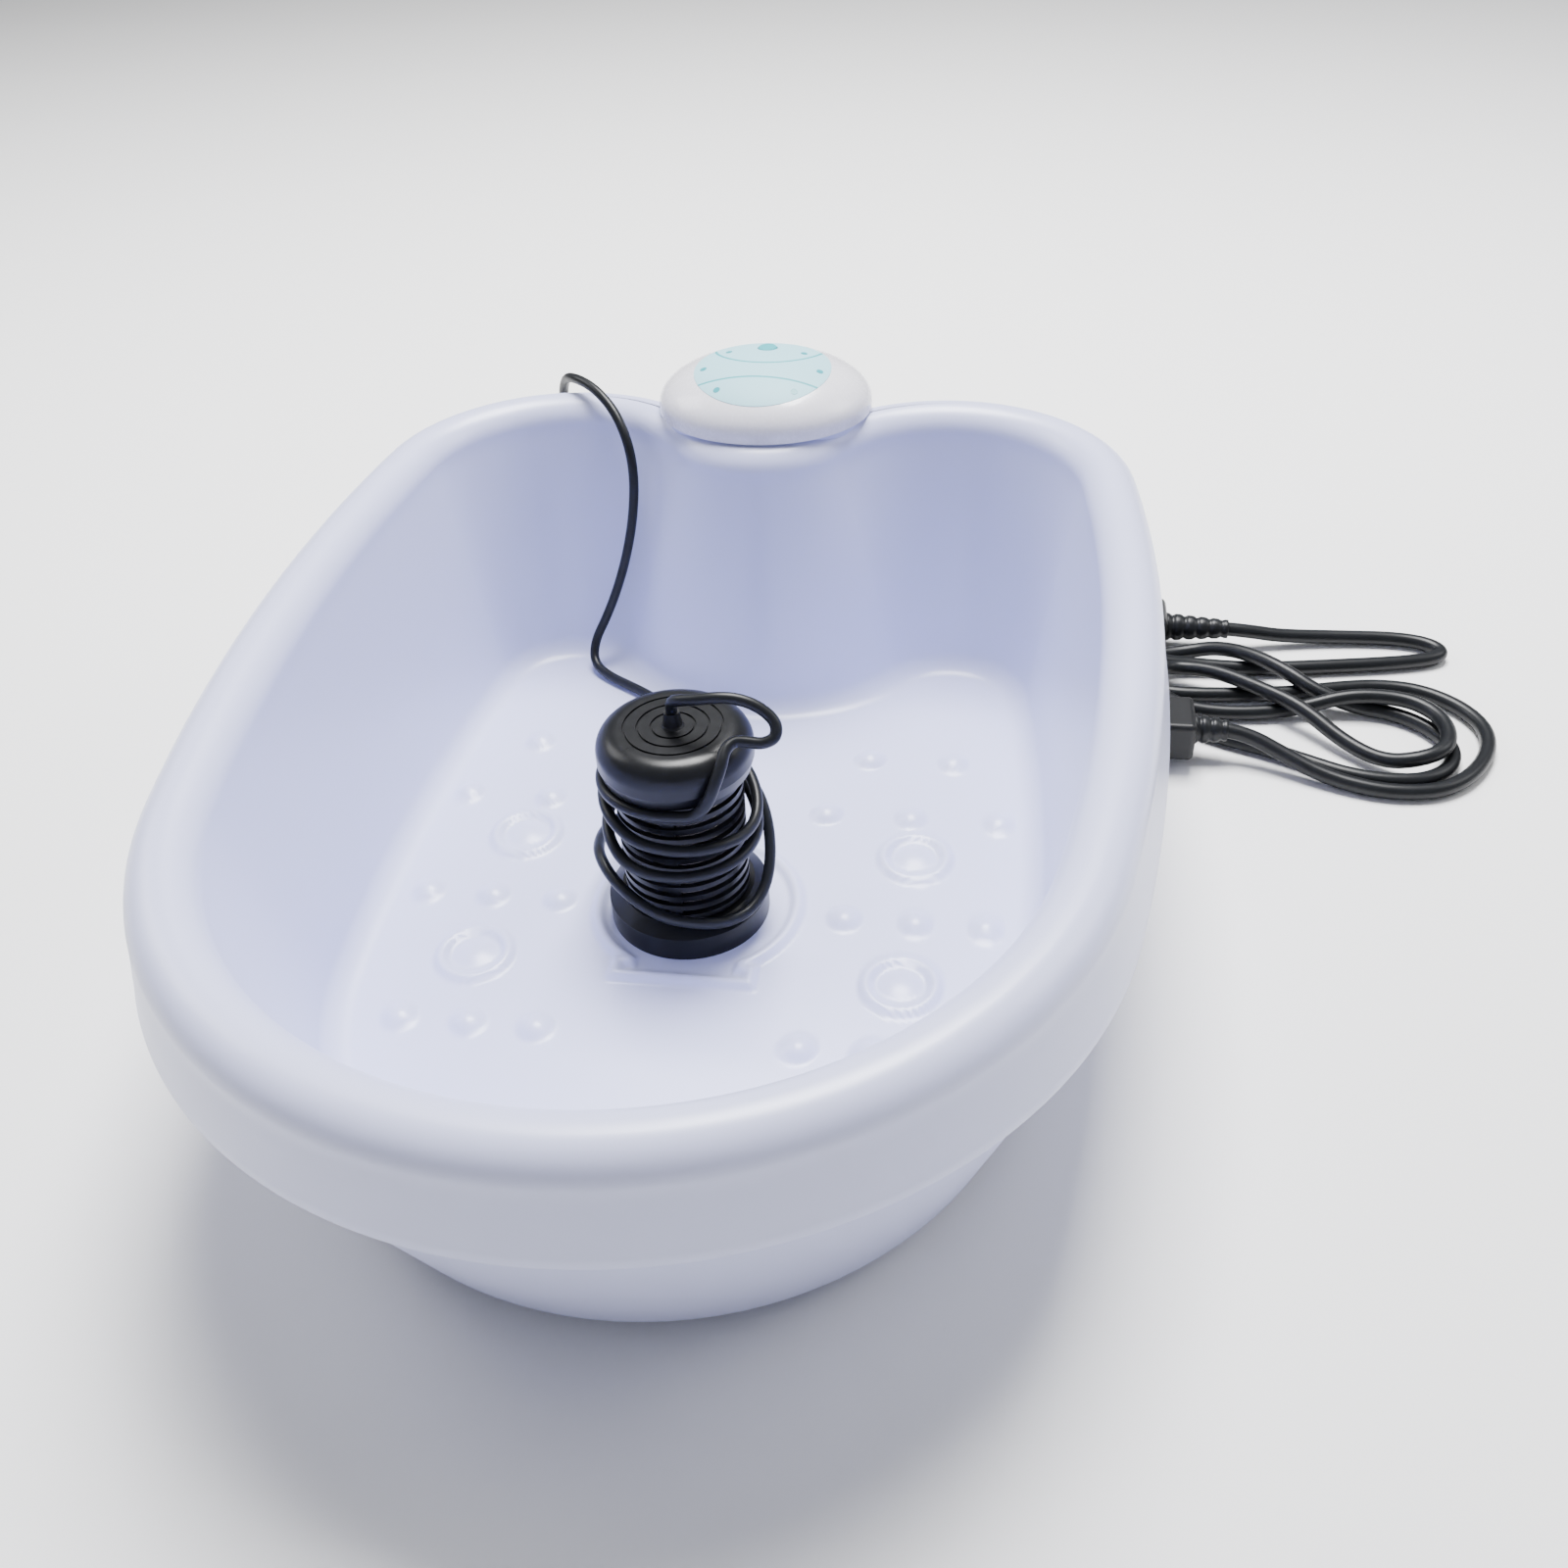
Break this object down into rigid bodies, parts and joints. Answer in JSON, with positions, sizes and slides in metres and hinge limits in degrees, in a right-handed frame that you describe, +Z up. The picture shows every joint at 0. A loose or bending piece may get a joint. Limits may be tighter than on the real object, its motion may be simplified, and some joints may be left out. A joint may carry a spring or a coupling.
{
  "type": "foot spa basin",
  "caption": "Moulded foot bath with a rolled rim, a massage floor, a control dome, a lift-out electrode array on a cord, and a mains lead.",
  "frame": {"origin": "on the ground under the middle of the tub, as the middle of the bottom of its box without the cords", "axes": "+Z up, +Y towards the control dome, +X to the right of a person who faces the dome"},
  "size_m": [0.5067, 0.468, 0.1563],
  "materials": {
    "tub_white": "satin gloss moulded",
    "base_white": "satin gloss moulded",
    "dome_silver": "pearl gloss moulded",
    "label_aqua": "printed film",
    "key_teal": "satin",
    "window_teal": "clear moulded",
    "black_gloss": "polished moulded",
    "black_satin": "satin",
    "cord_black": "satin pvc",
    "steel": "plain",
    "electrode_steel": "drawn wire",
    "brass": "nickel plated",
    "feet_rubber": "matt",
    "gasket_rubber": "matt",
    "board_green": "solder mask",
    "part_black": "moulded",
    "part_white": "moulded",
    "aluminium": "extruded",
    "wire_grey": "pvc"
  },
  "bodies": {
    "tub": {"basin_shell": "tub_white", "base_shell": "base_white", "dome_cover": "dome_silver", "dome_label": "label_aqua", "led_windows": "window_teal", "mains_inlet": "black_satin", "appliance_connector": "black_satin", "mains_plug": "black_satin", "array_plug": "black_satin", "array_socket": "black_satin", "socket_nut": "black_satin", "array_cord_run": "cord_black", "array_plug_boot": "cord_black", "connector_boot": "cord_black", "mains_lead_hank": "cord_black", "mains_plug_boot": "cord_black", "base_screws": "steel", "dome_screws": "steel", "board_screws": "steel", "inlet_screws": "steel", "power_bracket": "steel", "transformer_core": "steel", "fuse": "steel", "plug_blades": "brass", "inlet_pins": "brass", "front_left_foot": "feet_rubber", "front_right_foot": "feet_rubber", "back_left_foot": "feet_rubber", "back_right_foot": "feet_rubber", "dome_gasket": "gasket_rubber", "control_board": "board_green", "power_board": "board_green", "control_chips": "part_black", "power_switch": "part_black", "fuse_holder": "part_black", "power_capacitor": "part_black", "led_set": "part_white", "transformer_coil": "part_white", "heat_sink": "aluminium", "ribbon_cable": "wire_grey", "mains_wires": "wire_grey", "socket_wires": "wire_grey"},
    "array": {"array_base": "black_gloss", "array_core": "black_satin", "array_ribs": "black_gloss", "electrode_winding": "electrode_steel", "array_cap": "black_gloss", "array_gland": "black_satin", "array_screws": "steel", "array_cord_wrap": "cord_black", "array_cord_loop": "cord_black"},
    "power_key": {"power_button": "key_teal", "switch_plunger": "part_white"}
  },
  "joints": [
    {"name": "array lift", "type": "slide", "parent": "tub", "child": "array", "axis": [0, 0, 1], "range_m": [0, 0.1]},
    {"name": "key press", "type": "slide", "parent": "tub", "child": "power_key", "axis": [0, 0, -1], "range_m": [0, 0.0008], "stiffness_N_per_m": 800, "springref_m": -0.0005}
  ]
}
